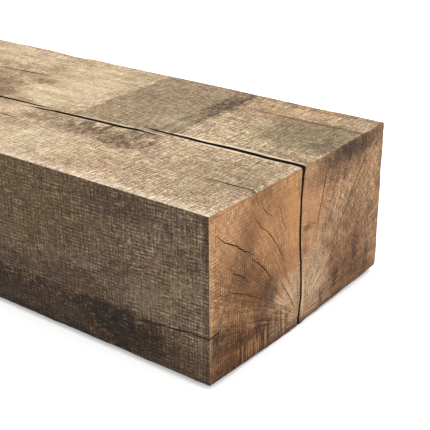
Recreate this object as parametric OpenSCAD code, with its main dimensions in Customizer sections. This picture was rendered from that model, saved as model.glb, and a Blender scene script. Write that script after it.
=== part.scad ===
// Timber railway sleeper: one sawn baulk with the pith close to its bed.
// Origin at the middle of the bed, +X along the length towards the split end,
// -Y towards the front side, +Z up. All sizes in millimetres.

/* [Baulk] */
// Length of the sleeper
sleeper_len = 2400; // [1500:50:3600]
// Width across the bed
sleeper_w = 225; // [180:5:300]
// Thickness at both sides
sleeper_h = 125; // [100:5:180]
// Width of the worn bevel along every arris
arris = 1.5; // [0.5:0.25:5]
// Rise of the bed from its flat middle out to each side, where the wood has cupped
bed_cup = 3; // [0.5:0.25:6]
// Width of the flat middle of the bed, which lies on the ground
bed_flat = 90; // [60:5:120]
// Fall of the top face from each side in to its flat middle, from the same cupping
top_dip = 1.2; // [0.25:0.05:4]
// Width of the flat middle of the top face
top_flat = 90; // [60:5:120]

/* [Heart split] */
// Distance of the split from the middle of the width, towards the front
split_off = 4; // [-15:0.5:25]
// Width of the first run, which is open at the end
split_w = 4.8; // [2:0.2:8]
// Length of the first run, from the end of the sleeper
split_len = 143; // [100:1:200]
// Distance from the end over which the first run goes through to the bed
split_through = 85; // [40:5:95]
// Height above the ground where the first run closes
split_heel = 45; // [20:5:80]
// Width of the second run
run_w = 3.2; // [1.5:0.1:4.5]
// Length of the second run
run_len = 147; // [100:1:200]
// Depth of the second run
run_depth = 88; // [40:2:95]
// Step towards the front from the first run to the second, centre to centre
run_step = 7.6; // [6.5:0.1:14]
// Width of the third run
tail_w = 2; // [1:0.1:3]
// Length of the third run
tail_len = 330; // [200:10:800]
// Depth of the third run
tail_depth = 60; // [30:2:95]
// Step towards the back from the second run to the third, centre to centre
tail_step = 6; // [5:0.1:10]
// Distance over which two runs lie side by side
run_overlap = 22; // [10:1:30]
// How far each run turns towards the front
run_turn = 4; // [0:0.5:6]
// Length over which each run makes most of its turn
run_ease = 45; // [20:5:90]
// Sideways wander of all runs over the height
split_wander = 2; // [0:0.1:3]

/* [Checks] */
// Height of the check in the front side, at the end
side_check_z = 40; // [20:0.5:60]
// Length of the check in the front side
side_check_len = 75; // [40:5:150]
// How far the check in the front side drops along its length
side_check_drop = 7; // [0:1:12]
// Depth of the check in the front side, at the end
side_check_depth = 11; // [4:1:20]
// Width of the check in the front side
side_check_w = 1.4; // [0.8:0.1:2]
// Distance of the short end check from the front side
end_check_y = 52.5; // [40:0.5:70]
// Length of the short end check in the top face
end_check_len = 38; // [20:1:60]
// Depth of the checks in the top face
top_check_depth = 9; // [4:1:16]
// Width of the checks in the top face
top_check_w = 1.4; // [0.8:0.1:2]
// Distance of the long top check from the back side
back_check_y = 65; // [50:1:80]
// Distance of the long top check from the end
back_check_s = 298; // [250:1:400]
// Length of the long top check
back_check_len = 69; // [40:1:120]
// Distance of the small top check from the front side
front_check_y = 64; // [40:1:75]
// Distance of the small top check from the end
front_check_s = 244; // [150:1:300]
// Length of the small top check
front_check_len = 24; // [15:1:50]

/* [Chip] */
// Length of the chip along the top arris of the end
chip_len = 36; // [15:1:50]
// Depth of the chip, square to the arris
chip_depth = 2.2; // [0.8:0.2:4]
// Distance of the middle of the chip from the front side
chip_y = 58; // [45:1:75]

/* [Hidden] */
// How far each cut reaches out of the face it starts in
over = 2;
// Width left at the closed tip and the root of a cut
tip_w = 0.4;
end_x = sleeper_len / 2;
side_y = sleeper_w / 2;
// Height of the top face's two sides above the ground
top_z = bed_cup + sleeper_h;
// Turns of the wander over the height, and the turn at which it starts, in degrees
wander_turns = 600;
wander_start = -150;
// Steps along each run of the split, and down its depth
run_steps = 16;
split_steps = 8;
// Steps along each check, and down its depth
check_steps = 8;
check_rows = 2;
// Least depth of a check, at its closed tip
tip_depth = 0.5;

// Outline of a rectangle with its four corners cut off at 45 degrees
module bevelled(size, cut) {
    half = size / 2;
    polygon([
        for (q = [[1, 1], [-1, 1], [-1, -1], [1, -1]])
            for (c = q[0] * q[1] > 0 ? [[0, 1], [1, 0]] : [[1, 0], [0, 1]])
                [q[0] * (half[0] - cut * c[0]), q[1] * (half[1] - cut * c[1])]
    ]);
}

// Section across the length: cupped, so the bed bulges and the top is hollow
module section() {
    polygon([
        [-side_y, bed_cup + arris],
        [-side_y + arris, bed_cup],
        [-bed_flat / 2, 0],
        [bed_flat / 2, 0],
        [side_y - arris, bed_cup],
        [side_y, bed_cup + arris],
        [side_y, top_z - arris],
        [side_y - arris, top_z],
        [top_flat / 2, top_z - top_dip],
        [-top_flat / 2, top_z - top_dip],
        [-side_y + arris, top_z],
        [-side_y, top_z - arris]
    ]);
}

// The sawn baulk, with a bevel on all twelve arrises
module baulk() {
    intersection() {
        translate([-end_x, 0, 0])
            rotate([90, 0, 90])
                linear_extrude(sleeper_len)
                    section();
        linear_extrude(top_z)
            bevelled([sleeper_len, sleeper_w], arris);
        translate([0, side_y, top_z / 2])
            rotate([90, 0, 0])
                linear_extrude(sleeper_w)
                    bevelled([sleeper_len, top_z], arris);
    }
}

// Thin closed blade that cuts a split: at(u, v, side) is the point at u along
// its length and v down its depth, both 0 to 1, on its side -1 or 1
module blade(ni, nk, at) {
    half = (ni + 1) * (nk + 1);
    id = function (side, i, k) side * half + i * (nk + 1) + k;
    quad = function (a, b, c, d) [[a, b, c], [a, c, d]];
    polyhedron(
        points = [
            for (side = [-1, 1]) for (i = [0:ni]) for (k = [0:nk]) at(i / ni, k / nk, side)
        ],
        faces = [
            for (i = [0:ni - 1]) for (k = [0:nk - 1])
                each quad(id(0, i, k), id(0, i, k + 1), id(0, i + 1, k + 1), id(0, i + 1, k)),
            for (i = [0:ni - 1]) for (k = [0:nk - 1])
                each quad(id(1, i, k), id(1, i + 1, k), id(1, i + 1, k + 1), id(1, i, k + 1)),
            for (i = [0:ni - 1])
                each quad(id(0, i, 0), id(0, i + 1, 0), id(1, i + 1, 0), id(1, i, 0)),
            for (i = [0:ni - 1])
                each quad(id(0, i, nk), id(1, i, nk), id(1, i + 1, nk), id(0, i + 1, nk)),
            for (k = [0:nk - 1])
                each quad(id(0, 0, k), id(1, 0, k), id(1, 0, k + 1), id(0, 0, k + 1)),
            for (k = [0:nk - 1])
                each quad(id(0, ni, k), id(0, ni, k + 1), id(1, ni, k + 1), id(1, ni, k))
        ]
    );
}

// Turn of a run towards the front, d from where it starts
function turn(d) = run_turn * (1 - exp(-max(d, 0) / run_ease));

// Sideways wander of the split at height z
function wander(z) =
    let (t = z / top_z) split_wander * t * sin(wander_turns * t + wander_start);

// Place of a point on the split, s from the end and y from the front
function split_point(s, y, z) = [end_x - s, -side_y + y + wander(z), z];
split_y = side_y - split_off;

// Lowest height of the first run: below the bed, then rising to its heel
function first_floor(s) =
    s <= split_through ? -over
    : -over + (split_heel + over) * sqrt((s - split_through) / (split_len - split_through));

// First run: open at the end, through to the bed, closing at split_len
module first_run() {
    blade(run_steps, split_steps, function (u, v, side)
        let (
            s = -over + u * (split_len + over),
            w = tip_w + (split_w - tip_w) * (1 - pow(u, 3)),
            z = top_z + over + v * (first_floor(s) - top_z - over)
        )
        split_point(s, split_y - turn(s) + side * w / 2, z));
}

// Later run: closed at both ends, from start along the length and y from the front
module later_run(start, y, len, w, depth) {
    blade(run_steps, split_steps, function (u, v, side)
        let (
            d = u * len,
            lens = pow(sin(180 * sqrt(u)), 0.6),
            gape = tip_w + (w - tip_w) * lens * (1 - 0.5 * v),
            reach = over + max(over, depth * (1 - pow(u, 1.4)))
        )
        split_point(start + d, y - turn(d) + side * gape / 2, top_z + over - v * reach));
}

// Second run: starts beside the first, one step to the front
second_start = split_len - run_overlap;
second_y = split_y - turn(second_start) - run_step;
module second_run() later_run(second_start, second_y, run_len, run_w, run_depth);

// Third run: starts beside the second, one step to the back, and runs out
third_start = second_start + run_len - run_overlap;
third_y = second_y - turn(run_len - run_overlap) + tail_step;
module third_run() later_run(third_start, third_y, tail_len, tail_w, tail_depth);

// Narrow check in the top face, from s along the length and y from the front
module top_check(s, y, len, from_end = false) {
    blade(check_steps, check_rows, function (u, v, side)
        let (
            swell = from_end ? 1 - pow(u, 2) : sin(180 * u),
            w = tip_w + (top_check_w - tip_w) * swell * (1 - v)
        )
        [
            end_x - s - u * len,
            -side_y + y + side * w / 2,
            top_z + over - v * (over + max(tip_depth, top_check_depth * swell))
        ]);
}

// Check in the front side, open at the end and wrapping its arris
module side_check() {
    blade(check_steps, check_rows, function (u, v, side)
        let (
            w = tip_w + (side_check_w - tip_w) * (1 - u * u) * (1 - 0.7 * v),
            s = -over + u * (side_check_len + over),
            depth = max(tip_depth, side_check_depth * (1 - u))
        )
        [
            end_x - s,
            -side_y - over + v * (over + depth),
            side_check_z - side_check_drop * pow(u, 1.6) - 0.3 * v * depth - side * w / 2
        ]);
}

// Shallow chip knocked out of the top arris of the end
module chip() {
    chip_r = (pow(chip_len / 2, 2) + pow(chip_depth, 2)) / (2 * chip_depth);
    out = (chip_r - chip_depth) / sqrt(2);
    translate([end_x + out, -side_y + chip_y, top_z + out])
        sphere(chip_r, $fn = 96);
}

// The whole sleeper: one piece of wood, with its splits and checks cut in
module sleeper() {
    color("#8f7355")
        difference() {
            baulk();
            first_run();
            second_run();
            third_run();
            side_check();
            top_check(-over, end_check_y, end_check_len + over, from_end = true);
            top_check(front_check_s, front_check_y, front_check_len);
            top_check(back_check_s, sleeper_w - back_check_y, back_check_len);
            chip();
        }
}

sleeper();
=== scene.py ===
"""Weathered sawn timber railway sleeper with its heart split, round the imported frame."""
import math

import bmesh
import bpy
from mathutils import Matrix, Vector, noise


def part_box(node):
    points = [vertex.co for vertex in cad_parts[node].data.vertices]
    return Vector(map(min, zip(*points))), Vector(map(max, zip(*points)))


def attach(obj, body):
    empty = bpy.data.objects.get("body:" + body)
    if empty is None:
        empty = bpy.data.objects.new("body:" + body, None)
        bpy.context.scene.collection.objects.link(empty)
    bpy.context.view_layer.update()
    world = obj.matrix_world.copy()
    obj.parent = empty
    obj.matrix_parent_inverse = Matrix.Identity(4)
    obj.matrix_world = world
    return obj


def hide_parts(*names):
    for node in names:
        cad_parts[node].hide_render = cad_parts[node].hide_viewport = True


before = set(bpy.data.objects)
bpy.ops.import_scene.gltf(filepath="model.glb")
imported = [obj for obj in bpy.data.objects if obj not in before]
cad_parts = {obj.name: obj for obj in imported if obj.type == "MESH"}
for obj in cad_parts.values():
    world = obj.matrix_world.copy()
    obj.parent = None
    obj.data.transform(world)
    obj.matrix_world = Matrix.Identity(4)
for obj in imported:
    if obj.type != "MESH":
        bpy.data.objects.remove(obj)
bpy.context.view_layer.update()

# ---------------------------------------------------------------- sizes
# Places on the sleeper are told in millimetres: s from the split end, y from the
# front side and z from the ground. The frame gives where those three start.
MM = 0.001
LOW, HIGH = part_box("sleeper")
LENGTH, WIDTH, HEIGHT = [side / MM for side in HIGH - LOW]
CUP = 3.9  # rise of the bed from the split out to both sides
DIP = 1.2  # fall of the top face from both sides in to the split
SPLIT_Y = 109.0  # middle of the split at the end
PITH = (109.0, 9.0)  # y and z of the pith, which runs the whole length
CHIP_Y = 58.0  # middle of the chip in the end's upper arris
FOOT_LIFT = 1.6  # how far the foot of the end rises just behind the split


def spot(s, y, z):
    """The place s, y, z millimetres from the split end, the front side and the ground."""
    return Vector((HIGH.x - s * MM, LOW.y + y * MM, LOW.z + z * MM))


def told(place):
    """The reverse of spot."""
    return (HIGH.x - place.x) / MM, (place.y - LOW.y) / MM, (place.z - LOW.z) / MM


def smooth(value, low, high):
    """0 below low, 1 above high, and a soft step between."""
    t = min(max((value - low) / (high - low), 0.0), 1.0)
    return t * t * (3 - 2 * t)


def along(points, value):
    """Height of the smooth curve through (place, height) points at value."""
    if value <= points[0][0]:
        return points[0][1]
    for (a, low), (b, high) in zip(points, points[1:]):
        if value <= b:
            return low + (high - low) * smooth(value, a, b)
    return points[-1][1]


def rough(x, y=0.0, z=0.0, size=10.0, seed=0.0):
    """Seeded noise from -1 to 1 whose lumps are size millimetres across."""
    return noise.noise(Vector((x / size + seed, y / size - seed, z / size + 0.37 * seed)))


# ---------------------------------------------------------------- mesh of the baulk
def stations(total, runs):
    """Places to cut at from both ends in: runs are (up to, step), the last to the middle."""
    places, at = [], 0.0
    for reach, step in runs:
        while at + step <= min(reach, total / 2):
            at += step
            places.append(at)
    return sorted(set(places) | {total - place for place in places})


def cut_across(bm, axis, places):
    """Cuts the whole mesh square to an axis at each place."""
    normal = [float(n == axis) for n in range(3)]
    for place in places:
        bmesh.ops.bisect_plane(
            bm,
            geom=bm.verts[:] + bm.edges[:] + bm.faces[:],
            dist=1e-7,
            plane_co=[place * n for n in normal],
            plane_no=normal,
        )


def arris_radius(s, y, z):
    """Rounding of the nearest arris in millimetres: sawn sharp, then worn and chipped."""
    worn = 1.1 + 0.7 * rough(s, y, z, 23, 3.1) + 0.5 * rough(s, y, z, 7, 8.4)
    bruise = 3.5 * smooth(rough(s, y, z, 61, 5.2), 0.45, 0.8)
    near = smooth(40 - s, 0, 10)
    end_chip = 4.6 * smooth(18 - abs(y - CHIP_Y), 0, 9) * smooth(z, 90, 100) * near
    lip = 1.3 * smooth(7 - abs(y - SPLIT_Y), 0, 6) * smooth(z, 60, 100) * near
    return max(0.35, worn + bruise + end_chip + lip)


def rounded(place):
    """A place on the square box moved on to its rounded arrises."""
    s, y, z = told(place)
    r = arris_radius(s, y, z)
    inner = [min(max(v, r), side - r) for v, side in zip((s, y, z), (LENGTH, WIDTH, HEIGHT))]
    out = Vector((s, y, z)) - Vector(inner)
    if out.length > r:
        out *= r / out.length
    return Vector(inner) + out


def cupped(s, y, z):
    """Height z carried on to the cupped section: hollow top, bulging bed."""
    half = SPLIT_Y if y < SPLIT_Y else WIDTH - SPLIT_Y
    off = min(abs(y - SPLIT_Y) / half, 1.0)
    # the lift fades out towards the back side and along the length
    lift = FOOT_LIFT * smooth(y, SPLIT_Y + 1, SPLIT_Y + 14) * (1 - off) * smooth(120 - s, 0, 100)
    bed = CUP * off**1.2 + lift
    top = HEIGHT - DIP * (1 - off**1.2)
    return bed + (top - bed) * z / HEIGHT


def sawn(s, y, z):
    """How far the saw wandered off each face, in millimetres inwards, as a vector."""
    wave = 0.35 * rough(s, 0.3 * y, 0.3 * z, 90, 1.7) + 0.12 * rough(s, y, z, 14, 6.3)
    steps = Vector((0.0, 0.0, 0.0))
    for axis, (value, side) in enumerate(zip((s, y, z), (LENGTH, WIDTH, HEIGHT))):
        near = 1 - smooth(min(value, side - value), 0, 12)
        steps[axis] = near * (0.3 + wave) * (1 if value < side / 2 else -1)
    if z < HEIGHT / 2:
        # the bed wanders less, and never outwards, or it would dip below the ground
        steps.z = max(steps.z, 0.0) * 0.3
    return steps


def make_baulk():
    """The square baulk as one closed mesh with worn arrises and sawn faces."""
    bm = bmesh.new()
    bmesh.ops.create_cube(bm, size=1.0)
    bmesh.ops.scale(bm, vec=HIGH - LOW, verts=bm.verts)
    bmesh.ops.translate(bm, vec=(LOW + HIGH) / 2, verts=bm.verts)
    arris = [(0.4, 0.4), (1.2, 0.4), (3.2, 1.0), (8.2, 2.5)]
    lengthways = arris + [(160, 3.0), (330, 5.0), (600, 10.0), (LENGTH / 2, 20.0)]
    far = [place for place in stations(LENGTH, arris + [(LENGTH / 2, 20.0)]) if place > LENGTH / 2]
    near = [place for place in stations(LENGTH, lengthways) if place < LENGTH / 2]
    cut_across(bm, 0, [spot(place, 0, 0).x for place in near + far])
    cut_across(bm, 1, [spot(0, place, 0).y for place in stations(WIDTH, arris + [(WIDTH / 2, 4.0)])])
    cut_across(bm, 2, [spot(0, 0, place).z for place in stations(HEIGHT, arris + [(HEIGHT / 2, 4.0)])])
    bm.normal_update()
    for face in bm.faces:
        axis = max(range(3), key=lambda n: abs(face.normal[n]))
        face.material_index = {0: END, 1: SIDE}.get(axis, TOP if face.normal.z > 0 else BED)
        face.smooth = True
    for vert in bm.verts:
        s, y, z = rounded(vert.co)
        moved = Vector((s, y, z)) + sawn(s, y, z)
        vert.co = spot(moved.x, moved.y, cupped(*moved))
    return bm


# ---------------------------------------------------------------- splits and checks
def make_blade(name, steps, rows, at):
    """A thin closed blade that cuts a split: at(u, v, side) is the place at u along it
    and v down it, both 0 to 1, on its side -1 or 1."""
    bm = bmesh.new()
    bmesh.ops.create_grid(bm, x_segments=steps, y_segments=rows, size=0.5)
    made = bmesh.ops.extrude_face_region(bm, geom=bm.faces[:], use_keep_orig=True)
    lifted = [item for item in made["geom"] if isinstance(item, bmesh.types.BMVert)]
    bmesh.ops.translate(bm, vec=(0, 0, 1), verts=lifted)
    for vert in bm.verts:
        u, v, side = vert.co.x + 0.5, vert.co.y + 0.5, 1 if vert.co.z > 0.5 else -1
        vert.co = at(u, v, side)
    bmesh.ops.recalc_face_normals(bm, faces=bm.faces)
    if bm.calc_volume(signed=True) < 0:
        # on a blade this thin the recalculation can turn every face inwards
        bmesh.ops.reverse_faces(bm, faces=bm.faces)
    for face in bm.faces:
        face.material_index = SPLIT
        face.smooth = True
    return finished(name, bm)


def finished(name, bm):
    """The mesh as an object at the origin, with the sleeper's materials."""
    mesh = bpy.data.meshes.new(name)
    bm.to_mesh(mesh)
    bm.free()
    for material in MATERIALS:
        mesh.materials.append(material)
    piece = bpy.data.objects.new(name, mesh)
    bpy.context.scene.collection.objects.link(piece)
    return piece


OUT = 2.0  # how far a blade stands out of the top face
UNDER_BED = -3.0  # z of the first run's blade where it goes through the bed
THROUGH = 85.0  # the first run goes through to the bed as far in as this

# Course of the split over the height of the end, as (z, sideways)
SPLIT_RISE = [(0, -1.7), (8, -2.1), (15, -0.7), (25, 1.1), (38, 0.3), (50, -0.5), (65, -2.2), (80, -3.1),
              (104, -2.6), (118, -1.6), (127, 0.0)]
# Width of the split over the height of the end, as (z, width)
SPLIT_GAPE = [(0, 3.2), (15, 2.5), (50, 2.5), (80, 2.7), (104, 2.5), (119, 3.0), (124, 4.3), (127, 6.0)]
# The three runs of the split: start, length, depth, its (s, y) course on the top face
# and its (s, width) widths, which are shares of the gape for the first run
RUNS = {
    "first": (-3, 148, None, [(0, 109.6), (10, 110.0), (24, 109.1), (60, 109.2), (92, 107.8), (124, 107.0)],
              [(0, 1.0), (60, 1.0), (100, 0.78), (130, 0.5), (145, 0.08)]),
    "second": (118, 145, 88, [(118, 99.2), (146, 99.4), (160, 97.3), (180, 96.8), (204, 95.7), (225, 94.2),
                              (240, 92.7), (263, 90.8)],
               [(118, 0.3), (131, 2.0), (149, 4.5), (223, 4.5), (243, 2.8), (263, 0.3)]),
    "third": (236, 330, 60, [(236, 97.8), (260, 96.7), (300, 95.2), (380, 93.5), (470, 90.0), (566, 89.0)],
              [(236, 0.3), (250, 2.4), (288, 3.4), (420, 2.4), (566, 0.2)]),
}


def split_side(s, z, side):
    """Sideways place of a split's torn wall: the wander both walls share and their own."""
    shared = 0.35 * rough(s, 0, z, 17, 2.2) + 0.18 * rough(s, 0, z, 5, 4.4)
    return along(SPLIT_RISE, z) + shared + side * 0.22 * rough(s, 0, z, 6, 9.1 + side)


def cut_first(u, v, side):
    """First run: open at the end and through to the bed, closing as it goes in."""
    start, length, _, course, widths = RUNS["first"]
    s = start + u * length
    lowest = UNDER_BED
    if s >= THROUGH:
        lowest += 50 * math.sqrt((s - THROUGH) / (start + length - THROUGH))
    z = HEIGHT + OUT + v * (lowest - HEIGHT - OUT)
    half = along(SPLIT_GAPE, z) * along(widths, s) / 2
    return spot(s, along(course, s) + split_side(s, z, side) + side * half, z)


def cut_later(run):
    """A later run: closed at both ends, shallower as it runs out."""
    start, length, depth, course, widths = RUNS[run]

    def at(u, v, side):
        s = start + u * length
        z = HEIGHT + OUT - v * (OUT + max(2.0, depth * (1 - u**1.6)))
        half = along(widths, s) * (1 - 0.5 * v) / 2
        return spot(s, along(course, s) + split_side(s, z, side) + side * half, z)

    return at


# Hair checks in the end: their (y, z) course from the outside in, width and depth
END_CHECKS = {
    "long": ([(7, 112), (13, 107), (19, 103), (21, 101), (24, 100), (35, 92), (44, 86), (49, 82)], 0.95, 6),
    "long_inner": ([(47, 81), (60, 69), (67, 61), (72, 54)], 0.8, 5),
    "short": ([(23, 79), (31, 75), (43, 67)], 0.6, 4),
    "level": ([(6, 70), (18, 65), (34, 60), (57, 46)], 0.5, 3),
    "by_the_chip": ([(56, 121), (60, 112), (66, 106), (72, 102)], 0.6, 3),
    "steep": ([(51, 108), (57, 101), (65, 94), (75, 82), (82, 72), (88, 62)], 0.7, 5),
    "by_the_split": ([(79, 108), (83, 97), (89, 84)], 0.6, 4),
    "to_the_pith": ([(84, 47), (92, 34), (101, 20)], 0.75, 5),
    "at_the_foot": ([(42, 33), (60, 27), (80, 18), (98, 11)], 0.5, 3),
    "upright": ([(140, 117), (137, 104), (134, 90), (130, 75)], 1.05, 5),
    "beside_upright": ([(155, 88), (151, 80), (147, 71)], 0.85, 4),
    "slanting": ([(197, 109), (185, 94), (173, 78), (160, 61), (146, 46)], 0.95, 4),
    "low": ([(143, 48), (134, 37), (124, 26)], 0.8, 3),
}


def far_checks():
    """Checks of the other end, which star out from its pith: as END_CHECKS holds them."""
    star = {}
    for count, angle in enumerate(range(22, 160, 17)):
        way = Vector((math.cos(math.radians(angle)), math.sin(math.radians(angle))))
        inner = 18 + 8 * rough(count, seed=7.7)
        outer = min(inner + 46 + 14 * rough(count, seed=3.3), 112 / abs(way.y), 96 / abs(way.x))
        bend = Vector((-way.y, way.x)) * 3 * rough(count, seed=5.5)
        stops = (0, 0.3, 0.6, 1)
        course = [Vector(PITH) + way * (inner + (outer - inner) * u) + bend * u * u for u in stops]
        star["far_%d" % count] = (course, 1.0, 6)
    return star


def cut_end(course, width, depth, seed, far=False):
    """A hair check: a thin wedge into the near or the far end along a jagged course."""
    points = [Vector(point) for point in course]
    spans = [(b - a).length for a, b in zip(points, points[1:])]
    total = sum(spans)

    def on_course(u):
        rest = u * total
        for a, b, span in zip(points, points[1:], spans):
            if rest <= span or b is points[-1]:
                return a.lerp(b, min(rest / span, 1.0)), (b - a).normalized()
            rest -= span

    def at(u, v, side):
        place, way = on_course(u)
        across = Vector((-way.y, way.x))
        swell = math.sin(math.pi * (0.06 + 0.88 * u)) ** 0.6
        jag = width * (0.7 * rough(u * total, seed, 0, 3.1, seed) + rough(u * total, seed, 0, 8.3, seed))
        place = place + across * (jag + side * (0.06 + 0.5 * width * swell * (1 - 0.9 * v)))
        s = -1.5 + v * (1.5 + depth * swell)
        return spot(LENGTH - s if far else s, place.x, place.y)

    return at


# Course of the check in the front side, as (s, z)
FRONT_CHECK = [(0, 40.0), (16, 39.7), (38, 37.5), (52, 35.4), (70, 34.0)]


def cut_front(u, v, side):
    """The check in the front side, which wraps the arris of the end."""
    s = -2 + 70 * u
    height = along(FRONT_CHECK, s)
    depth = 11 * (1 - u)
    half = 0.12 + 0.5 * (1 - u**3) * (1 - 0.6 * v)
    y = -2 + v * (2.4 + depth)
    return spot(s, y, height + 0.4 * rough(s, 0, 0, 7, 6.6) + 0.1 * max(y, 0) - side * half)


# Checks in the top face: start and end along the length, y at both, width and depth
TOP_CHECKS = {
    "end": (-2, 42, 53.4, 51.2, 2.3, 7),
    "small": (242, 266, 64.3, 64.2, 1.6, 6),
    "long": (294, 366, 162.0, 156.5, 2.0, 9),
    "deep": (655, 790, 128.0, 121.0, 1.6, 14),
    "far": (1480, 1640, 84.0, 90.0, 1.8, 14),
    "other_end": (2250, 2404, 118.0, 121.0, 2.4, 30),
}


def cut_top(start, end, near_y, far_y, width, depth):
    """A narrow check along the grain in the top face."""

    def at(u, v, side):
        s = start + (end - start) * u
        swell = math.sin(math.pi * (0.04 + 0.92 * u)) ** 0.7
        if start < 0:
            swell = (0.35 + 2 * u) * (1 - u) ** 0.8
        if end > LENGTH:
            swell = 1 - 0.95 * (1 - u) ** 2
        y = near_y + (far_y - near_y) * u + 0.5 * rough(s, 0, 0, 9, near_y)
        half = 0.06 + 0.5 * width * swell * (1 - 0.85 * v)
        return spot(s, y + side * half, HEIGHT + OUT - v * (OUT + 1.5 + depth * swell))

    return at


def cut_splits(baulk):
    """Cuts every split and check into the baulk, and leaves one closed mesh."""
    blades = [make_blade("first_run", 60, 26, cut_first)]
    blades += [make_blade(run + "_run", 60, 10, cut_later(run)) for run in ("second", "third")]
    blades.append(make_blade("front_check", 24, 4, cut_front))
    for name, check in TOP_CHECKS.items():
        blades.append(make_blade("top_check_" + name, 28, 3, cut_top(*check)))
    for far, checks in ((False, END_CHECKS), (True, far_checks())):
        for count, (name, check) in enumerate(checks.items()):
            blades.append(make_blade("end_check_" + name, 26, 3, cut_end(*check, 1.3 * count, far)))
    for blade in blades:
        cut = baulk.modifiers.new(blade.name, "BOOLEAN")
        cut.operation = "DIFFERENCE"
        cut.solver = "MANIFOLD"
        cut.object = blade
    bpy.context.view_layer.update()
    depsgraph = bpy.context.evaluated_depsgraph_get()
    mesh = bpy.data.meshes.new_from_object(baulk.evaluated_get(depsgraph))
    mesh.set_sharp_from_angle(angle=math.radians(40))
    baulk.modifiers.clear()
    baulk.data = mesh
    for blade in blades:
        bpy.data.objects.remove(blade)


# ---------------------------------------------------------------- materials
def linear(code):
    """An sRGB hex colour as linear RGBA."""
    values = [int(code[n : n + 2], 16) / 255 for n in (1, 3, 5)]
    return [v / 12.92 if v <= 0.04045 else ((v + 0.055) / 1.055) ** 2.4 for v in values] + [1.0]


def add(tree, kind, inputs=None, stops=None, **settings):
    """Adds a node: settings are its own, inputs its sockets' values or links, stops its ramp."""
    node = tree.nodes.new("ShaderNode" + kind)
    for name, value in settings.items():
        setattr(node, name, value)
    for name, value in (inputs or {}).items():
        if isinstance(value, bpy.types.NodeSocket):
            tree.links.new(value, node.inputs[name])
        else:
            node.inputs[name].default_value = value
    if stops:
        ramp = node.color_ramp
        while len(ramp.elements) < len(stops):
            ramp.elements.new(0.5)
        for element, (place, code) in zip(ramp.elements, stops):
            element.position = place
            element.color = linear(code)
    return node


# Sockets of a colour Mix node: how much, the colour under, the colour over, the result
HOW_MUCH, UNDER, OVER, MIXED = 0, 6, 7, 2


def places(tree):
    """Every point's s, y and z in millimetres, as one vector."""
    seen = add(tree, "TexCoord").outputs["Object"]
    return add(tree, "Mapping", {
        "Vector": seen,
        "Location": (HIGH.x / MM, -LOW.y / MM, -LOW.z / MM),
        "Scale": (-1 / MM, 1 / MM, 1 / MM),
    }).outputs["Vector"]


def lumps(tree, at, size, low=0.3, high=0.7, seed=0.0, turn=(0, 0, 0), detail=2.0):
    """Noise from 0 to 1 whose lumps are size mm along, across and up, before they are turned."""
    put = add(tree, "Mapping", {
        "Vector": at,
        "Location": (90 * seed, -170 * seed, 60 * seed),
        "Rotation": [math.radians(angle) for angle in turn],
        "Scale": size,
    }, vector_type="TEXTURE").outputs["Vector"]
    value = add(tree, "TexNoise", {"Vector": put, "Scale": 1.0, "Detail": detail})
    return add(tree, "MapRange", {
        "Value": value.outputs["Fac"], "From Min": low, "From Max": high,
    }).outputs["Result"]


def fibres(tree, at, size, seed=0.0, turn=(0, 0, 0)):
    """Crisp dashes, each of one random tone from 0 to 1 and about size mm, before they are turned."""
    put = add(tree, "Mapping", {
        "Vector": at,
        "Location": (90 * seed, -170 * seed, 60 * seed),
        "Rotation": [math.radians(angle) for angle in turn],
        "Scale": size,
    }, vector_type="TEXTURE").outputs["Vector"]
    cell = add(tree, "TexVoronoi", {"Vector": put, "Scale": 1.0})
    return add(tree, "SeparateColor", {0: cell.outputs["Color"]}).outputs[0]


def lines(tree, at, pitch, seed=0.0, turn=(0, 0, 0), waver=1.2):
    """Wavering parallel lines from 0 to 1, pitch mm apart along the length before they are turned."""
    put = add(tree, "Mapping", {
        "Vector": at,
        "Location": (9 * seed, 0.0, 0.0),
        "Rotation": [math.radians(angle) for angle in turn],
        "Scale": (pitch, 10, 10),
    }, vector_type="TEXTURE").outputs["Vector"]
    # the wave repeats every pi / 10 at scale 1
    return add(tree, "TexWave", {
        "Vector": put, "Scale": math.pi / 10, "Distortion": waver, "Detail": 1.0, "Detail Scale": 1.0,
    }).outputs["Fac"]


def threads(tree, at, pitch, length, strong, seed=0.0, turn=(0, 0, 0), waver=2.5):
    """Lines broken into stretches of length mm that stand out unlike each other, by up to
    strong: a part for total."""
    much = fibres(tree, at, (2.2 * pitch, length, length), seed + 40.0, turn)
    much = add(tree, "Math", {0: much, 1: strong}, operation="MULTIPLY").outputs[0]
    return lines(tree, at, pitch, seed, turn, waver), much


def in_fibres(tree, mask, dashes, least=0.35, most=1.4):
    """A stain's mask, taken up unevenly by the fibres it lies on."""
    share = add(tree, "MapRange", {"Value": dashes, "To Min": least, "To Max": most}).outputs["Result"]
    return add(tree, "Math", {0: mask, 1: share}, operation="MULTIPLY").outputs[0]


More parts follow.
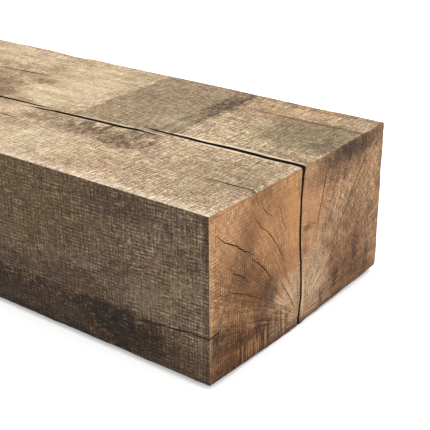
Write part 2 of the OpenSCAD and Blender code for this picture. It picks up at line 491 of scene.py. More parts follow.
def patch(tree, at, centre, size, soft=0.3, fray=0.0, lump=12.0, turn=(0, 0, 0), square=False, seed=0.0):
    """1 inside an oval or a square of half sizes size mm round centre, 0 outside, with a
    soft edge that frays by lumps of lump mm."""
    put = add(tree, "Mapping", {
        "Vector": at,
        "Location": centre,
        "Rotation": [math.radians(angle) for angle in turn],
        "Scale": size,
    }, vector_type="TEXTURE").outputs["Vector"]
    if square:
        sides = add(tree, "VectorMath", {0: put}, operation="ABSOLUTE").outputs["Vector"]
        parts = add(tree, "SeparateXYZ", {0: sides}).outputs
        far = add(tree, "Math", {0: parts["X"], 1: parts["Y"]}, operation="MAXIMUM").outputs[0]
        far = add(tree, "Math", {0: far, 1: parts["Z"]}, operation="MAXIMUM").outputs[0]
    else:
        far = add(tree, "VectorMath", {0: put}, operation="LENGTH").outputs["Value"]
    if fray:
        torn = lumps(tree, at, (lump, lump, lump), 0.2, 0.8, 5.0 + seed)
        torn = add(tree, "Math", {0: torn, 1: -0.5}, operation="ADD").outputs[0]
        far = add(tree, "Math", {0: torn, 1: fray, 2: far}, operation="MULTIPLY_ADD").outputs[0]
    return add(tree, "MapRange", {
        "Value": far, "From Min": 1 + soft, "From Max": max(0.0, 1 - soft),
    }, interpolation_type="SMOOTHSTEP").outputs["Result"]


def total(tree, *parts):
    """Sum of (value, weight) parts, each counted from its middle 0.5, round 0.5."""
    result = 0.5
    for value, weight in parts:
        off = add(tree, "Math", {0: value, 1: -0.5}, operation="ADD").outputs[0]
        result = add(tree, "Math", {0: off, 1: weight, 2: result}, operation="MULTIPLY_ADD").outputs[0]
    return result


def laid_over(tree, colour, code, mask, strength=1.0, blend="MULTIPLY"):
    """The colour stained by another where the mask is 1, or covered by it with blend MIX."""
    much = add(tree, "Math", {0: mask, 1: strength}, operation="MULTIPLY").outputs[0]
    return add(tree, "Mix", {HOW_MUCH: much, UNDER: colour, OVER: linear(code)},
               data_type="RGBA", blend_type=blend).outputs[MIXED]


def stained(tree, at, colour, dashes, stains):
    """The colour under one soft oval stain for each row: its centre, half sizes and colour."""
    for centre, size, code in stains:
        mask = patch(tree, at, centre, size, 0.6, 0.8, 10.0)
        colour = laid_over(tree, colour, code, in_fibres(tree, mask, dashes, 0.5, 1.5))
    return colour


def finish_timber(tree, colour, relief, depth, roughness=0.85):
    """Dry timber: no gloss, and the relief raises its surface by depth mm."""
    bump = add(tree, "Bump", {"Height": relief, "Distance": depth * MM, "Strength": 1.0})
    shader = add(tree, "BsdfPrincipled", {
        "Base Color": colour, "Roughness": roughness, "IOR": 1.5,
        "Specular IOR Level": 0.25, "Normal": bump.outputs["Normal"],
    })
    out = add(tree, "OutputMaterial")
    tree.links.new(shader.outputs["BSDF"], out.inputs["Surface"])


def new_material(name):
    """An empty node material."""
    material = bpy.data.materials.new(name)
    material.use_nodes = True
    material.node_tree.nodes.clear()
    return material, material.node_tree


ANY = 100000.0  # half size of a patch along a direction that doesn't matter
THIS_END = 1000.0  # the same along the length, short enough to leave out the far end
FRONT = 120.0  # the same across the width, for what belongs to the front side

# Colours from the darkest pores to the palest fibres
TOP_TONES = [(0.0, "#413324"), (0.25, "#695946"), (0.5, "#8b7963"), (0.75, "#a4947d"), (1.0, "#c2b8a3")]
# the side's tones are darker than the top's, partly by weathering and partly by painted shade for the side
# turned from the lamp
SIDE_TONES_WITH_PAINTED_SHADE = [(0.0, "#221911"), (0.27, "#3d2f24"), (0.5, "#514234"), (0.75, "#695a48"), (1.0, "#8d7f67")]
END_TONES = [(0.0, "#3c2616"), (0.25, "#62452c"), (0.5, "#825f40"), (0.75, "#9b7857"), (1.0, "#b99e7a")]
PALE_TOP = "#c7b99e"  # bleached and crushed fibres on the top, and painted highlight and light where it lies on the split's lips and away from the end


def sawn_top_timber():
    """Band-sawn hardwood bleached by the sun: tan, combed across by the saw's teeth and
    along by the open grain, with grey bands where stacking battens lay."""
    material, tree = new_material("sawn_top_timber")
    at = places(tree)
    teeth = fibres(tree, at, (1.2, 8, 20), 3.0)
    grain = fibres(tree, at, (6.5, 1.2, 20), 11.0)
    # pores and grit, drawn a millimetre wide so that they show
    grit = lumps(tree, at, (1.0, 1.0, 1.0), 0.34, 0.66, 7.0, detail=1.0)
    crumbs = fibres(tree, at, (1.9, 1.9, 1.9), 27.0)
    dashes = fibres(tree, at, (2.4, 5, 20), 33.0)
    streaks = lumps(tree, at, (60, 5, 60), 0.3, 0.7, 17.0, detail=1.0)
    cloud = lumps(tree, at, (30, 22, 40), 0.3, 0.7, 23.0, detail=1.0)
    # every third tooth set proud, and the grooves of the open grain
    comb = threads(tree, at, 4.2, 9, 0.2, 1.0)
    close_comb = threads(tree, at, 2.6, 6, 0.3, 9.0)
    grooves = threads(tree, at, 3.2, 8, 0.22, 5.0, (0, 0, 90))
    fine = total(tree, (teeth, 0.26), (grain, 0.28), (grit, 0.42), (crumbs, 0.26),
                 comb, close_comb, grooves)
    tone = total(tree, (fine, 1.1), (streaks, 0.08), (cloud, 0.09))
    colour = add(tree, "ValToRGB", {"Fac": tone}, stops=TOP_TONES).outputs["Color"]
    # pinkish heart in some places and yellower weathering in others
    hue = lumps(tree, at, (26, 18, 30), 0.35, 0.65, 37.0, detail=2.0)
    colour = laid_over(tree, colour, "#fff4ed", hue)
    yellow = add(tree, "Math", {0: 1.0, 1: hue}, operation="SUBTRACT").outputs[0]
    colour = laid_over(tree, colour, "#faf7e6", yellow)
    # paler away from the end and towards the back: bleaching, and painted light where the lamp falls
    # brighter on the far part
    pale = patch(tree, at, (262, 150, 0), (38, 70, ANY), 0.5, 0.7, 16)
    colour = laid_over(tree, colour, PALE_TOP, pale, 0.3, "MIX")
    # coarser weathering further along
    blotch = lumps(tree, at, (9, 6, 20), 0.36, 0.64, 71.0, detail=2.0)
    away = patch(tree, at, (2000, 110, 0), (1790, 200, ANY), 0.02, square=True)
    much = add(tree, "Math", {0: blotch, 1: away}, operation="MULTIPLY").outputs[0]
    colour = laid_over(tree, colour, "#f2eee6", much)
    # browner where the back arris shed the rain
    brown = patch(tree, at, (70, 204, 0), (62, 24, ANY), 0.5, 0.7, 14)
    colour = laid_over(tree, colour, "#f3e8de", brown)
    # grey band where a batten lay, its darker edge and two lines along it
    band = patch(tree, at, (165.5, 168, 0), (48.5, 68, ANY), 0.06, 0.16, 9, square=True)
    colour = laid_over(tree, colour, "#cdc9be", band)
    edge = patch(tree, at, (123, 186, 0), (11, 27, ANY), 0.6, 1.6, 3.5)
    colour = laid_over(tree, colour, "#b8a48a", in_fibres(tree, edge, dashes))
    blot = patch(tree, at, (124, 192, 0), (7, 15, ANY), 0.6, 1.6, 3)
    colour = laid_over(tree, colour, "#b5a48b", in_fibres(tree, blot, dashes))
    for line, reach in ((120, 60), (132, 44)):
        mark = patch(tree, at, (line, 108 + reach, 0), (2.4, reach, ANY), 0.6, 1.6, 3.5)
        colour = laid_over(tree, colour, "#bdb19a", in_fibres(tree, mark, dashes))
    # knotty grain in front of the band, with torn fibres across it
    knot = patch(tree, at, (154, 74, 0), (40, 11, ANY), 0.6, 1.5, 6)
    colour = laid_over(tree, colour, "#a39072", in_fibres(tree, knot, dashes))
    torn = lumps(tree, at, (2.8, 16, 20), 0.52, 0.62, 51.0, detail=0.0)
    row = patch(tree, at, (155, 88, 0), (43, 10, ANY), 0.3, 0.4, 8, square=True)
    row = add(tree, "Math", {0: row, 1: torn}, operation="MULTIPLY").outputs[0]
    colour = laid_over(tree, colour, "#9c8e76", row)
    # greenish damp patch by the end, bounded by one dark grain line
    damp = patch(tree, at, (30, 164, 0), (46, 30, ANY), 0.4, 0.7, 14)
    colour = laid_over(tree, colour, "#c4c3b4", damp)
    line = patch(tree, at, (38, 191, 0), (66, 2.4, ANY), 0.5, 0.5, 6)
    colour = laid_over(tree, colour, "#bdb1a0", line)
    # mould in its corner, and the trodden half in front of the split
    mould = patch(tree, at, (11, 148, 0), (9, 17, ANY), 0.4, 0.8, 6)
    colour = laid_over(tree, colour, "#c8c2be", in_fibres(tree, mould, dashes))
    trodden = patch(tree, at, (24, 60, 0), (48, 38, ANY), 0.5, 0.5, 14)
    colour = laid_over(tree, colour, "#e0dcd6", trodden)
    colour = stained(tree, at, colour, dashes, (
        ((137, 93, 0), (12, 8, ANY), "#b6aca2"),
        ((136, 64, 0), (13, 7, ANY), "#cfc4b6"),
        ((50, 222, 0), (70, 7, ANY), "#ded2c4"),
        ((98, 182, 0), (18, 16, ANY), "#ece8e4"),
        ((20, 116, 0), (34, 9, ANY), "#d3cec7"),
        ((224, 92, 0), (24, 11, ANY), "#d9d3cc"),
        ((284, 98, 0), (24, 13, ANY), "#e2dcd6"),
        ((192, 70, 0), (16, 8, ANY), "#d0c8c1"),
        ((228, 77, 0), (16, 8, ANY), "#e0d0cb"),
        ((16, 66, 0), (10, 8, ANY), "#e6e5e1"),
        ((91, 37, 0), (13, 10, ANY), "#eee7e5"),
        ((38, 178, 0), (24, 9, ANY), "#ddd9d2"),
        ((130, 26, 0), (28, 16, ANY), "#f1ece7"),
        ((13, 198, 0), (12, 9, ANY), "#ecf4f6"),
    ))
    # a second band and the stain at its corner
    far_band = patch(tree, at, (343, 115, 0), (50, 18, ANY), 0.12, 0.5, 9, square=True)
    colour = laid_over(tree, colour, "#cbc2b0", in_fibres(tree, far_band, dashes))
    stain = patch(tree, at, (295, 147, 0), (11, 8, ANY), 0.5, 0.8, 6)
    colour = laid_over(tree, colour, "#b8b0a2", in_fibres(tree, stain, dashes))
    # pale crushed lips along the first and the second run of the split, with a painted highlight along each
    # lip
    lip = patch(tree, at, (54, 109.4, 0), (72, 4.8, ANY), 0.15, 0.5, 5, turn=(0, 0, -1.2))
    colour = laid_over(tree, colour, PALE_TOP, lip, 0.5, "MIX")
    lip = patch(tree, at, (187, 96.6, 0), (62, 3.6, ANY), 0.2, 0.5, 5, turn=(0, 0, -3.6))
    colour = laid_over(tree, colour, PALE_TOP, lip, 0.35, "MIX")
    # places bleached paler
    for s, y, wide, high, much in ((215, 34, 60, 28, 0.2), (405, 204, 90, 26, 0.2),
                                   (137, 130, 18, 15, 0.12)):
        pale = patch(tree, at, (s, y, 0), (wide, high, ANY), 0.6, 0.8, 12)
        colour = laid_over(tree, colour, PALE_TOP, in_fibres(tree, pale, dashes), much, "MIX")
    # broad wavy streaks of browner grain further along
    drift = lumps(tree, at, (44, 12, 30), 0.42, 0.6, 83.0, (0, 0, 9))
    further = patch(tree, at, (1330, 110, 0), (1110, 200, ANY), 0.03, square=True)
    drift = add(tree, "Math", {0: drift, 1: further}, operation="MULTIPLY").outputs[0]
    colour = laid_over(tree, colour, "#e4ddd2", in_fibres(tree, drift, dashes, 0.6, 1.3))
    # crushed fibres along the front arris and along the arris of the end, with a painted highlight along
    # both arrises
    arris = patch(tree, at, (0, 0, 0), (ANY, 7, ANY), 0.8, 0.9, 6)
    colour = laid_over(tree, colour, "#d6cebb", in_fibres(tree, arris, dashes, 0.3, 1.3), 0.28, "MIX")
    arris = patch(tree, at, (0, 50, 0), (4, 46, ANY), 0.6, 1.6, 4)
    colour = laid_over(tree, colour, "#cfc8b6", in_fibres(tree, arris, grit, 0.0, 1.4), 0.22, "MIX")
    finish_timber(tree, colour, fine, 0.45)
    return material


def sawn_side_timber():
    """The same timber's side, darkened by soil and rain and by painted shade, as it faces away from the
    lamp: brown-black in the pores, with the saw's upright marks crossing the grain like woven linen."""
    material, tree = new_material("sawn_side_timber")
    at = places(tree)
    teeth = fibres(tree, at, (1.2, 30, 6), 5.0)
    grain = fibres(tree, at, (5, 30, 1.1), 2.0, (0, 2.5, 0))
    warp = threads(tree, at, 4.0, 8, 0.2, 2.0)
    close_warp = threads(tree, at, 2.5, 6, 0.24, 12.0)
    weft = threads(tree, at, 2.7, 7, 0.34, 3.0, (0, 91.5, 0))
    close_weft = threads(tree, at, 1.9, 5, 0.2, 8.0, (0, 91.5, 0))
    crumbs = fibres(tree, at, (1.9, 1.9, 1.9), 28.0)
    dashes = fibres(tree, at, (4, 30, 2.6), 91.0)
    blocks = fibres(tree, at, (13, 30, 6), 93.0)
    grit = lumps(tree, at, (1.0, 1.0, 1.0), 0.34, 0.66, 31.0, detail=1.0)
    cloud = lumps(tree, at, (40, 40, 26), 0.3, 0.7, 41.0, detail=1.0)
    # soil line: the bottom stood in the ground, and its grain stands out more
    soil = patch(tree, at, (700, 0, 6), (652, ANY, 31), 0.05, 0.08, 7, square=True)
    fine = total(tree, (teeth, 0.22), (grain, 0.3), (crumbs, 0.14), (grit, 0.4),
                 warp, close_warp, weft, close_weft)
    harder = add(tree, "Math", {0: soil, 1: 1.3, 2: 1.05}, operation="MULTIPLY_ADD").outputs[0]
    tone = total(tree, (fine, harder), (cloud, 0.02))
    # painted shade: these tones are darkened for the side turned from the lamp
    colour = add(tree, "ValToRGB", {"Fac": tone}, stops=SIDE_TONES_WITH_PAINTED_SHADE).outputs["Color"]
    # olive growth in some places and purplish damp in others
    hue = lumps(tree, at, (24, 24, 16), 0.35, 0.65, 43.0, detail=2.0)
    colour = laid_over(tree, colour, "#fffae8", hue)
    damp = add(tree, "Math", {0: 1.0, 1: hue}, operation="SUBTRACT").outputs[0]
    colour = laid_over(tree, colour, "#faf3f3", damp)
    # a damp stretch under the upper arris, and algae further along
    upper = patch(tree, at, (70, 0, 117), (36, FRONT, 12), 0.5, 0.8, 10)
    colour = laid_over(tree, colour, "#d5cdc8", upper)
    olive = patch(tree, at, (165, 0, 100), (60, FRONT, 34), 0.6, 0.6, 14)
    colour = laid_over(tree, colour, "#f6f4de", olive)
    # darker away from the end
    away = patch(tree, at, (1240, 0, 80), (1175, ANY, ANY), 0.04, square=True)
    colour = laid_over(tree, colour, "#ebe7e2", away)
    # soil held by the fibres, in small dashes and in larger blocks
    colour = laid_over(tree, colour, "#b79b80", in_fibres(tree, soil, dashes, 0.2, 1.5))
    colour = laid_over(tree, colour, "#d8d4c0", in_fibres(tree, soil, blocks, 0.0, 1.5))
    # a fainter stain, which reaches a little higher than the soil
    bank = patch(tree, at, (1300, 0, 20), (1180, ANY, 33), 0.04, 0.08, 9, square=True)
    colour = laid_over(tree, colour, "#e6e1db", in_fibres(tree, bank, dashes, 0.4, 1.5))
    # splashed mud along the foot, and the blackest stretch by the end
    splash = patch(tree, at, (0, 0, 0), (ANY, ANY, 26), 0.2, 0.4, 10)
    colour = laid_over(tree, colour, "#cfc0b6", splash)
    black = patch(tree, at, (80, 0, 24), (34, FRONT, 12), 0.4, 0.9, 9)
    colour = laid_over(tree, colour, "#b3ab9e", in_fibres(tree, black, dashes, 0.4))
    colour = stained(tree, at, colour, dashes, (
        ((52, 0, 16), (14, ANY, 9), "#cdc3ba"),
        ((90, 0, 36), (22, ANY, 10), "#d6cdc4"),
        ((122, 0, 48), (24, ANY, 9), "#d8d1ca"),
        ((40, 0, 28), (24, ANY, 8), "#e2dbd4"),
        ((76, 0, 64), (15, ANY, 12), "#ece8e4"),
        ((1, 0, 112), (3.5, ANY, 18), "#c6c2be"),
        ((109, 0, 31), (18, ANY, 8), "#c2bebc"),
        ((82, 0, 30), (16, ANY, 8), "#dccec4"),
        ((61, 0, 63), (12, ANY, 9), "#e6e1e0"),
        ((28, 0, 17), (14, ANY, 7), "#f0ecf2"),
        ((193, 0, 46), (16, ANY, 9), "#ebe6ea"),
        ((12, 0, 112), (14, ANY, 14), "#ebe9e8"),
        ((22, 0, 92), (16, ANY, 10), "#e8e4de"),
    ))
    # spots rubbed paler
    for s, z, wide, high, much in ((55, 56, 16, 10, 0.12), (22, 72, 13, 9, 0.12), (134, 17, 22, 7, 0.05),
                                   (196, 16, 30, 8, 0.03)):
        pale = patch(tree, at, (s, 0, z), (wide, ANY, high), 0.6, 0.8, 8)
        colour = laid_over(tree, colour, "#95876c", in_fibres(tree, pale, dashes, 0.0, 1.6), much, "MIX")
    foot = patch(tree, at, (0, 0, 0), (ANY, ANY, 6), 0.6, 0.5, 9)
    colour = laid_over(tree, colour, "#c2bbb3", foot)
    # the last 5 mm before the end is darker, behind a pale scratch
    strip = patch(tree, at, (1, 0, 64), (4.5, FRONT, 90), 0.2, 0.4, 5, square=True)
    colour = laid_over(tree, colour, "#e4dfd9", strip)
    scratch = patch(tree, at, (6.6, 0, 70), (0.9, FRONT, 50), 0.6, 1.5, 5)
    colour = laid_over(tree, colour, "#877d68", scratch, 0.12, "MIX")
    finish_timber(tree, colour, fine, 0.45)
    return material


def sawn_end_timber():
    """Cross-cut end grain, the freshest face: orange-brown heartwood with pale rays
    fanning from the pith, upright chain-saw marks and weather stains along its rim."""
    material, tree = new_material("sawn_end_timber")
    at = places(tree)
    saw = fibres(tree, at, (30, 1.0, 9), 3.0)
    grit = lumps(tree, at, (1.0, 1.0, 1.0), 0.34, 0.66, 13.0, detail=1.0)
    mottle = lumps(tree, at, (4, 3.2, 3.2), 0.34, 0.66, 15.0, detail=1.0)
    cloud = lumps(tree, at, (60, 26, 22), 0.3, 0.7, 19.0, detail=2.0)
    # angle and distance from the pith
    from_pith = add(tree, "VectorMath", {0: at, 1: (0.0, PITH[0], PITH[1])}, operation="SUBTRACT")
    parts = add(tree, "SeparateXYZ", {0: from_pith.outputs[0]})
    angle = add(tree, "Math", {0: parts.outputs["Z"], 1: parts.outputs["Y"]}, operation="ARCTAN2")
    radius = add(tree, "VectorMath", {0: from_pith.outputs[0]}, operation="LENGTH").outputs["Value"]
    polar = add(tree, "CombineXYZ", {0: angle.outputs[0], 1: radius}).outputs[0]
    rays = fibres(tree, polar, (0.011, 15, 1), 2.0)
    long_rays = lumps(tree, polar, (0.028, 60, 1), 0.36, 0.64, 9.0, detail=1.0)
    rings = fibres(tree, polar, (0.13, 1.3, 1), 6.0)
    comb = threads(tree, at, 2.4, 16, 0.36, 4.0, (0, 0, 90), 1.5)
    # fainter marks square to them, from turning the saw over
    cross = threads(tree, at, 2.6, 9, 0.3, 6.0, (0, 90, 0), 2.0)
    fine = total(tree, (saw, 0.22), comb, cross, (grit, 0.4), (mottle, 0.15), (rays, 0.28), (rings, 0.2))
    tone = total(tree, (fine, 1.05), (long_rays, 0.07), (cloud, 0.14))
    colour = add(tree, "ValToRGB", {"Fac": tone}, stops=END_TONES).outputs["Color"]
    # the half behind the split is a little colder, and the wood round the split warmer
    half = patch(tree, at, (0, 172, 60), (THIS_END, 66, 100), 0.1, 0.2, 20, square=True)
    colour = laid_over(tree, colour, "#f9fcff", half)
    for y, z, wide, high, code in ((40, 112, 50, 30, "#a87b50"), (84, 84, 32, 50, "#9c6e42"),
                                   (98, 90, 9, 38, "#aa7a48"), (124, 98, 16, 34, "#b98a5e")):
        warm = patch(tree, at, (0, y, z), (THIS_END, wide, high), 0.6, 0.5, 14)
        colour = laid_over(tree, colour, code, warm, 0.36, "MIX")
    # darker heart in the front half, round a grey knot of decay
    brown = patch(tree, at, (0, 48, 60), (THIS_END, 20, 14), 0.6, 0.7, 12)
    colour = laid_over(tree, colour, "#cdb89c", in_fibres(tree, brown, mottle, 0.7, 1.1))
    lean = patch(tree, at, (0, 36, 84), (THIS_END, 12, 28), 0.6, 0.7, 9, (-26, 0, 0))
    colour = laid_over(tree, colour, "#d3cdc2", in_fibres(tree, lean, mottle, 0.7, 1.3))
    colour = stained(tree, at, colour, saw, (
        ((0, 52, 44), (ANY, 34, 26), "#dcd5c8"),
        ((0, 56, 44), (ANY, 18, 12), "#e2dcca"),
        ((0, 24, 32), (ANY, 14, 9), "#d5cdbd"),
        ((0, 50, 86), (ANY, 12, 15), "#f0e9e2"),
        ((0, 91, 58), (ANY, 10, 12), "#e6ddd6"),
        ((0, 57, 16), (ANY, 8, 9), "#dabf9a"),
        ((0, 101, 3), (ANY, 12, 6), "#c2a88e"),
        ((0, 178, 9), (ANY, 46, 7), "#e6d9cc"),
        ((0, 222, 88), (ANY, 6, 30), "#e6e0d8"),
        ((0, 64, 14), (ANY, 24, 15), "#d2bf9f"),
        ((0, 62, 38), (ANY, 13, 15), "#d2c1a5"),
        ((0, 9, 38), (ANY, 9, 11), "#d8d6d3"),
        ((0, 62, 112), (ANY, 22, 12), "#e2dcd6"),
        ((0, 38, 90), (ANY, 14, 20), "#f2eee8"),
        ((0, 130, 98), (ANY, 18, 18), "#f3ece8"),
        ((0, 182, 17), (ANY, 24, 14), "#ddd8d4"),
        ((0, 152, 4), (ANY, 22, 6), "#d8d0ca"),
        ((0, 188, 71), (ANY, 9, 12), "#dddbda"),
        ((0, 208, 122), (ANY, 17, 9), "#dbdcdc"),
        ((0, 18, 79), (ANY, 11, 14), "#e8dcd2"),
        ((0, 115, 60), (ANY, 5, 9), "#e8d6c8"),
        ((0, 118, 6), (ANY, 9, 7), "#e2cfba"),
        ((0, 210, 7), (ANY, 12, 6), "#e8dac4"),
        ((0, 20, 40), (ANY, 18, 24), "#eae2d2"),
        ((0, 28, 17), (ANY, 16, 9), "#ebe5d2"),
        ((0, 44, 74), (ANY, 8, 12), "#e4e0de"),
        ((0, 63, 34), (ANY, 9, 7), "#e0d2ba"),
        ((0, 74, 66), (ANY, 11, 12), "#f2eee8"),
        ((0, 137, 13), (ANY, 13, 9), "#d1c9c7"),
        ((0, 150, 26), (ANY, 22, 14), "#ece4e0"),
        ((0, 172, 76), (ANY, 7, 9), "#e2dddb"),
        ((0, 72, 94), (ANY, 24, 18), "#f6f0ea"),
    ))
    knot = patch(tree, at, (0, 70, 44), (THIS_END, 9, 10), 0.6, 0.7, 7)
    colour = laid_over(tree, colour, "#bcb0a8", knot)
    low = patch(tree, at, (0, 32, 12), (THIS_END, 56, 17), 0.6, 0.6, 12)
    colour = laid_over(tree, colour, "#c2ad90", low)
    # pale fan round the pith, and a paler splash on each side of it, broken up by the rays
    shine = total(tree, (rays, 0.9), (long_rays, 0.7), (grit, 0.6))
    for y, z, wide, high, much in ((108, 22, 40, 26, 0.32), (94, 32, 8, 14, 0.4), (134, 28, 14, 12, 0.45),
                                   (90, 12, 18, 8, 0.2), (126, 10, 18, 6, 0.3),
                                   (132, 48, 17, 18, 0.36)):
        fan = patch(tree, at, (0, y, z), (ANY, wide, high), 0.7, 0.7, 8)
        fan = add(tree, "Math", {0: fan, 1: shine}, operation="MULTIPLY").outputs[0]
        colour = laid_over(tree, colour, "#c4ab8b", fan, much, "MIX")
    # pale hairs that star out from the pith
    hairs = fibres(tree, polar, (0.035, 26, 1), 12.0)
    hairs = add(tree, "MapRange", {"Value": hairs, "From Min": 0.78, "From Max": 0.95}).outputs["Result"]
    star = patch(tree, at, (0, 91, 29), (ANY, 15, 16), 0.6, 0.8, 8)
    star = add(tree, "Math", {0: star, 1: hairs}, operation="MULTIPLY").outputs[0]
    colour = laid_over(tree, colour, "#dcc6a8", star, 0.38, "MIX")
    # pale lip of the split, low on its back half
    lip = patch(tree, at, (0, 112.6, 24), (ANY, 1.8, 18), 0.5, 0.6, 5)
    colour = laid_over(tree, colour, "#cfb192", lip, 0.45, "MIX")
    # darker, redder wood low in the back half, and a pale spot above it
    red = patch(tree, at, (0, 174, 40), (THIS_END, 38, 24), 0.7, 1.2, 9, (-32, 0, 0))
    colour = laid_over(tree, colour, "#cfc0b5", red)
    pale = patch(tree, at, (0, 153, 68), (THIS_END, 18, 17), 0.6, 0.8, 8)
    colour = laid_over(tree, colour, "#c09f7e", in_fibres(tree, pale, saw), 0.16, "MIX")
    # short grey smears
    for y, z, wide, high in ((138, 10, 2.2, 8), (188, 34, 5, 14), (207, 20, 4, 12), (158, 20, 5, 8),
                             (8, 38, 13, 4), (4, 30, 6, 8), (208, 62, 5, 6), (118, 78, 7, 3)):
        smear = patch(tree, at, (0, y, z), (THIS_END, wide, high), 0.7, 2.0, 2.5)
        colour = laid_over(tree, colour, "#aa9d90", in_fibres(tree, smear, saw))
    # chain-saw bars low in the front half: dark ones, then pale ones
    bars = lumps(tree, at, (30, 1.4, 30), 0.44, 0.58, 61.0, detail=0.0)
    row = patch(tree, at, (0, 62, 13), (THIS_END, 30, 12), 0.3, 0.8, 5, square=True)
    row = add(tree, "Math", {0: row, 1: bars}, operation="MULTIPLY").outputs[0]
    colour = laid_over(tree, colour, "#b09474", row)
    bars = lumps(tree, at, (30, 1.6, 30), 0.5, 0.62, 66.0, detail=0.0)
    row = patch(tree, at, (0, 50, 10), (THIS_END, 22, 7), 0.4, 0.8, 5, square=True)
    row = add(tree, "Math", {0: row, 1: bars}, operation="MULTIPLY").outputs[0]
    colour = laid_over(tree, colour, "#c0945f", row, 0.3, "MIX")
    # weather stain along the top rim, and soil in the bottom corner and along the foot
    rim = patch(tree, at, (0, 184, 122), (THIS_END, 44, 8), 0.6, 1.4, 6)
    colour = laid_over(tree, colour, "#9f958a", in_fibres(tree, rim, saw))
    rim = patch(tree, at, (0, 172, 121), (THIS_END, 22, 7), 0.6, 1.4, 5)
    colour = laid_over(tree, colour, "#b8b0a8", in_fibres(tree, rim, mottle))
    rim = patch(tree, at, (0, 156, 114), (THIS_END, 46, 12), 0.5, 0.9, 8)
    colour = laid_over(tree, colour, "#cbc6c1", in_fibres(tree, rim, saw, 0.6, 1.4))
    corner = patch(tree, at, (0, 10, 5), (THIS_END, 30, 8), 0.6, 1.2, 6)
    colour = laid_over(tree, colour, "#b3a692", in_fibres(tree, corner, mottle))
    foot = patch(tree, at, (0, 0, 1), (ANY, ANY, 4), 0.6, 0.6, 8)
    colour = laid_over(tree, colour, "#b8a596", foot)
    # grey wood in the chip, and a painted highlight down the end's front arris
    chip = patch(tree, at, (0, CHIP_Y, 125), (THIS_END, 19, 7), 0.6, 1.0, 5)
    colour = laid_over(tree, colour, "#d6cfc8", chip)
    # painted highlight: a paler strip down the arris between the end and the front side
    edge = patch(tree, at, (0, 0, 75), (THIS_END, 4, 60), 0.5, 0.4, 8)
    colour = laid_over(tree, colour, "#a28569", edge, 0.25, "MIX")
    finish_timber(tree, colour, fine, 0.4)
    return material


def split_wall_painted_shade():
    """Torn fibre inside the splits and checks: dark brown, dusty and rough, painted near black as painted
    shade deep in the slots.
    """
    material, tree = new_material("split_wall_painted_shade")
    at = places(tree)
    fibre = lumps(tree, at, (24, 2.0, 1.6), 0.3, 0.7, 4.0)
    # painted shade: near-black tones stand in for the shade inside the splits and checks
    colour = add(tree, "ValToRGB", {"Fac": fibre}, stops=[
        (0.0, "#0d0805"), (0.6, "#1f150e"), (1.0, "#38291d"),
    ]).outputs["Color"]
    finish_timber(tree, colour, fibre, 0.6, 0.95)
    return material


def sawn_bed_timber():
    """The face the sleeper lies on: brown-black with soil, on the side's tones with their painted shade,
    sawn across like the others.
    """
    material, tree = new_material("sawn_bed_timber")
    at = places(tree)
    teeth = fibres(tree, at, (1.3, 14, 20), 4.0)
    grain = fibres(tree, at, (12, 1.4, 20), 14.0)
    grit = lumps(tree, at, (1.6, 1.6, 1.6), 0.34, 0.66, 17.0)
    cloud = lumps(tree, at, (70, 30, 40), 0.3, 0.7, 33.0, detail=3.0)
    fine = total(tree, (teeth, 0.25), (grain, 0.35), (grit, 0.35))
    tone = total(tree, (fine, 0.8), (cloud, 0.3))
    # the side's tones, with their painted shade
    colour = add(tree, "ValToRGB", {"Fac": tone}, stops=SIDE_TONES_WITH_PAINTED_SHADE).outputs["Color"]
    colour = laid_over(tree, colour, "#bdb0a8", 1.0)
    finish_timber(tree, colour, fine, 0.45)
    return material


TOP, SIDE, END, BED, SPLIT = range(5)
MATERIALS = [
    sawn_top_timber(), sawn_side_timber(), sawn_end_timber(), sawn_bed_timber(), split_wall_painted_shade(),
]

# ---------------------------------------------------------------- the sleeper
timber = finished("sleeper_timber", make_baulk())
cut_splits(timber)
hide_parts("sleeper")
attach(timber, "root")

# ---------------------------------------------------------------- camera
camera = bpy.data.objects.new("camera", bpy.data.cameras.new("camera"))
bpy.context.scene.collection.objects.link(camera)
bpy.context.scene.camera = camera
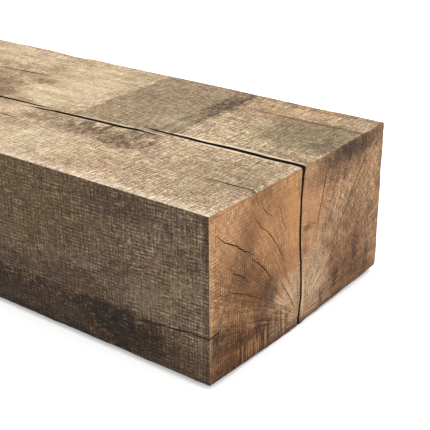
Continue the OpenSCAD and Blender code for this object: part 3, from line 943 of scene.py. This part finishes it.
# seen from in front of the split end and a little above it
AZIMUTH, ELEVATION, ROLL = 37.232, 24.081, -0.239
EYE = (-344.86, -447.59, 381.82)  # s, y and z of the camera
camera.data.sensor_width = 36.0
camera.data.lens = 84.41
az, el = math.radians(AZIMUTH), math.radians(ELEVATION)
back = Vector((math.sin(az) * math.cos(el), -math.cos(az) * math.cos(el), math.sin(el)))
turned = Matrix.Rotation(math.radians(ROLL), 3, back) @ (-back).to_track_quat("-Z", "Y").to_matrix()
camera.location = spot(*EYE)
camera.rotation_euler = turned.to_euler()
camera.data.clip_start, camera.data.clip_end = 0.01, 100.0

# ---------------------------------------------------------------- studio
# painted glow: the floor sheet glows though it is no lamp, so the shadow at the foot stays pale
PAINTED_PAPER_GLOW = 0.22
ROOM_LIGHT = 1.68  # even light from all round, beside the one lamp

floor_bm = bmesh.new()
bmesh.ops.create_grid(floor_bm, x_segments=1, y_segments=1, size=30.0)
floor_mesh = bpy.data.meshes.new("studio_floor")
floor_bm.to_mesh(floor_mesh)
floor_bm.free()
floor = bpy.data.objects.new("studio_floor", floor_mesh)
bpy.context.scene.collection.objects.link(floor)
paper, tree = new_material("white_paper")
shader = add(tree, "BsdfPrincipled", {
    "Base Color": linear("#ebebeb"), "Roughness": 0.95, "Specular IOR Level": 0.1,
    "Emission Color": linear("#ffffff"), "Emission Strength": PAINTED_PAPER_GLOW,
})
tree.links.new(shader.outputs["BSDF"], add(tree, "OutputMaterial").inputs["Surface"])
floor_mesh.materials.append(paper)


def area_light(name, place, target, size, watts, code):
    """A soft square lamp at place, facing target."""
    lamp = bpy.data.lights.new(name, "AREA")
    lamp.size = size
    lamp.energy = watts
    lamp.color = linear(code)[:3]
    lit = bpy.data.objects.new(name, lamp)
    bpy.context.scene.collection.objects.link(lit)
    lit.location = place
    lit.rotation_euler = (Vector(target) - Vector(place)).to_track_quat("-Z", "Y").to_euler()


area_light("key_lamp", (-0.4, 2.4, 3.4), (0.9, 0, 0), 2.5, 165.0, "#fffaf4")
world = bpy.data.worlds.new("studio_room")
bpy.context.scene.world = world
world.use_nodes = True
world.node_tree.nodes["Background"].inputs["Color"].default_value = linear("#ffffff")
world.node_tree.nodes["Background"].inputs["Strength"].default_value = ROOM_LIGHT
bpy.context.scene.view_settings.view_transform = "Standard"
